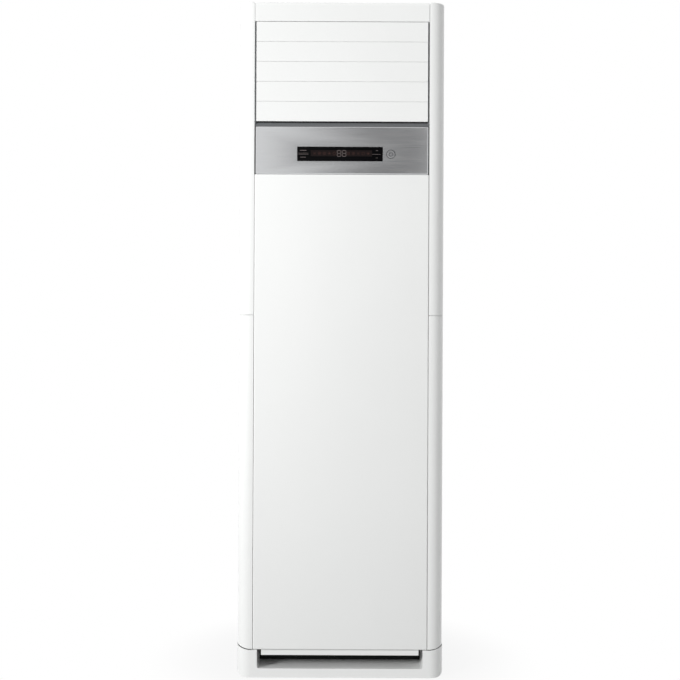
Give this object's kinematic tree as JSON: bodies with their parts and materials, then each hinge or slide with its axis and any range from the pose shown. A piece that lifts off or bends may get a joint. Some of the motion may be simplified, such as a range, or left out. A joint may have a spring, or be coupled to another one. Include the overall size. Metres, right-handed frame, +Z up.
{
  "type": "air conditioner indoor unit",
  "caption": "Tall floor-standing column indoor unit with swinging louvres over upright vanes, a display panel with a push button, hinged side intakes and a base with a toe slot.",
  "frame": {"origin": "bottom centre of the base, on the floor", "axes": "+Z up; the front faces -Y; +X is on the right for someone who looks at the front"},
  "size_m": [0.57, 0.4, 1.86],
  "materials": {
    "white_abs": "fine-textured moulded white plastic",
    "white_steel": "smooth white powder coat",
    "silver_panel": "brushed along its width and clear-coated",
    "black_acrylic": "polished black acrylic",
    "silver_plastic": "satin silver-painted plastic",
    "circuit_board": "green solder mask",
    "grey_nylon": "moulded grey nylon",
    "zinc_steel": "zinc-coated sheet steel",
    "duct_foam": "moulded bead foam",
    "coil_aluminium": "bare fin stock",
    "copper_tube": "drawn copper tube",
    "black_plastic": "moulded black plastic",
    "filter_mesh": "fine woven mesh in a plastic frame"
  },
  "bodies": {
    "cabinet": {"base": "white_abs", "column_lower_left": "white_abs", "column_lower_right": "white_abs", "column_upper_left": "white_abs", "column_upper_right": "white_abs", "rear_panel_lower": "white_steel", "rear_panel_upper": "white_steel", "top_cover": "white_abs", "top_trim": "white_abs", "wall_bracket": "zinc_steel", "front_panel": "white_steel", "control_panel": "silver_panel", "display_window": "black_acrylic", "display_board": "circuit_board", "button_ring": "silver_plastic", "outlet_frame": "white_abs", "louvre_motor": "zinc_steel", "vane_motor": "zinc_steel", "air_duct": "duct_foam", "coil_fins": "coil_aluminium", "coil_end_plate_left": "zinc_steel", "coil_end_plate_right": "zinc_steel", "coil_header": "copper_tube", "drip_tray": "white_abs", "gas_pipe": "copper_tube", "liquid_pipe": "copper_tube", "mid_shelf": "zinc_steel", "scroll_housing": "zinc_steel", "inlet_ring": "black_plastic", "fan_motor": "zinc_steel", "electrical_box": "zinc_steel", "electrical_cover": "zinc_steel", "terminal_block": "black_plastic"},
    "louvre_1": {"louvre_1": "white_abs", "louvre_crank_1": "grey_nylon"},
    "louvre_2": {"louvre_2": "white_abs", "louvre_crank_2": "grey_nylon"},
    "louvre_3": {"louvre_3": "white_abs", "louvre_crank_3": "grey_nylon"},
    "louvre_4": {"louvre_4": "white_abs", "louvre_crank_4": "grey_nylon"},
    "louvre_5": {"louvre_5": "white_abs", "louvre_crank_5": "grey_nylon"},
    "louvre_tie_bar": {"louvre_tie_bar": "grey_nylon"},
    "drive_arm": {"drive_arm": "grey_nylon"},
    "vane_1": {"vane_1": "white_abs"},
    "vane_2": {"vane_2": "white_abs"},
    "vane_3": {"vane_3": "white_abs"},
    "vane_4": {"vane_4": "white_abs"},
    "vane_5": {"vane_5": "white_abs"},
    "vane_6": {"vane_6": "white_abs"},
    "vane_tie_bar": {"vane_tie_bar": "grey_nylon"},
    "fan": {"fan_wheel": "grey_nylon", "fan_nut": "zinc_steel", "fan_shaft": "zinc_steel"},
    "power_button": {"power_button": "silver_plastic"},
    "intake_left": {"intake_grille_left": "white_abs", "filter_left": "filter_mesh"},
    "intake_right": {"intake_grille_right": "white_abs", "filter_right": "filter_mesh"}
  },
  "joints": [
    {"name": "louvre_1_swing", "type": "hinge", "parent": "cabinet", "child": "louvre_1", "pos_m": [0, -0.19, 1.77855], "axis": [-1, 0, 0], "range_deg": [0, 85]},
    {"name": "louvre_2_swing", "type": "hinge", "parent": "cabinet", "child": "louvre_2", "pos_m": [0, -0.19, 1.72365], "axis": [-1, 0, 0], "range_deg": [0, 85]},
    {"name": "louvre_3_swing", "type": "hinge", "parent": "cabinet", "child": "louvre_3", "pos_m": [0, -0.19, 1.66875], "axis": [-1, 0, 0], "range_deg": [0, 85]},
    {"name": "louvre_4_swing", "type": "hinge", "parent": "cabinet", "child": "louvre_4", "pos_m": [0, -0.19, 1.61385], "axis": [-1, 0, 0], "range_deg": [0, 85]},
    {"name": "louvre_5_swing", "type": "hinge", "parent": "cabinet", "child": "louvre_5", "pos_m": [0, -0.19, 1.55895], "axis": [-1, 0, 0], "range_deg": [0, 85]},
    {"name": "louvre_tie_bar_pivot", "type": "hinge", "parent": "louvre_1", "child": "louvre_tie_bar", "pos_m": [0.2448, -0.172, 1.77855], "axis": [-1, 0, 0], "range_deg": [-85, 0]},
    {"name": "drive_arm_turn", "type": "hinge", "parent": "cabinet", "child": "drive_arm", "pos_m": [0.2483, -0.15, 1.6962], "axis": [-1, 0, 0], "range_deg": [0, 85]},
    {"name": "vane_1_swing", "type": "hinge", "parent": "cabinet", "child": "vane_1", "pos_m": [-0.19, -0.125, 1.5213], "axis": [0, 0, 1], "range_deg": [-35, 35]},
    {"name": "vane_2_swing", "type": "hinge", "parent": "cabinet", "child": "vane_2", "pos_m": [-0.114, -0.125, 1.5213], "axis": [0, 0, 1], "range_deg": [-35, 35]},
    {"name": "vane_3_swing", "type": "hinge", "parent": "cabinet", "child": "vane_3", "pos_m": [-0.038, -0.125, 1.5213], "axis": [0, 0, 1], "range_deg": [-35, 35]},
    {"name": "vane_4_swing", "type": "hinge", "parent": "cabinet", "child": "vane_4", "pos_m": [0.038, -0.125, 1.5213], "axis": [0, 0, 1], "range_deg": [-35, 35]},
    {"name": "vane_5_swing", "type": "hinge", "parent": "cabinet", "child": "vane_5", "pos_m": [0.114, -0.125, 1.5213], "axis": [0, 0, 1], "range_deg": [-35, 35]},
    {"name": "vane_6_swing", "type": "hinge", "parent": "cabinet", "child": "vane_6", "pos_m": [0.19, -0.125, 1.5213], "axis": [0, 0, 1], "range_deg": [-35, 35]},
    {"name": "vane_tie_bar_pivot", "type": "hinge", "parent": "vane_1", "child": "vane_tie_bar", "pos_m": [-0.19, -0.093, 1.523], "axis": [0, 0, 1], "range_deg": [-35, 35]},
    {"name": "fan_spin", "type": "hinge", "parent": "cabinet", "child": "fan", "pos_m": [0, 0.1103, 0.56], "axis": [0, 1, 0], "continuous": true},
    {"name": "power_button_press", "type": "slide", "parent": "cabinet", "child": "power_button", "axis": [0, 1, 0], "range_m": [0, 0.0015], "stiffness_N_per_m": 400, "springref_m": -0.001},
    {"name": "intake_left_hinge", "type": "hinge", "parent": "cabinet", "child": "intake_left", "pos_m": [-0.282, 0.0265, 0.127], "axis": [0, 0, -1], "range_deg": [0, 60]},
    {"name": "intake_right_hinge", "type": "hinge", "parent": "cabinet", "child": "intake_right", "pos_m": [0.282, 0.0265, 0.127], "axis": [0, 0, 1], "range_deg": [0, 60]}
  ],
  "couplings": [
    {"joint": "louvre_2_swing", "follows": "louvre_1_swing", "ratio": 1},
    {"joint": "louvre_3_swing", "follows": "louvre_1_swing", "ratio": 1},
    {"joint": "louvre_4_swing", "follows": "louvre_1_swing", "ratio": 1},
    {"joint": "louvre_5_swing", "follows": "louvre_1_swing", "ratio": 1},
    {"joint": "drive_arm_turn", "follows": "louvre_1_swing", "ratio": 1},
    {"joint": "louvre_tie_bar_pivot", "follows": "louvre_1_swing", "ratio": -1},
    {"joint": "vane_2_swing", "follows": "vane_1_swing", "ratio": 1},
    {"joint": "vane_3_swing", "follows": "vane_1_swing", "ratio": 1},
    {"joint": "vane_4_swing", "follows": "vane_1_swing", "ratio": 1},
    {"joint": "vane_5_swing", "follows": "vane_1_swing", "ratio": 1},
    {"joint": "vane_6_swing", "follows": "vane_1_swing", "ratio": 1},
    {"joint": "vane_tie_bar_pivot", "follows": "vane_1_swing", "ratio": -1}
  ]
}
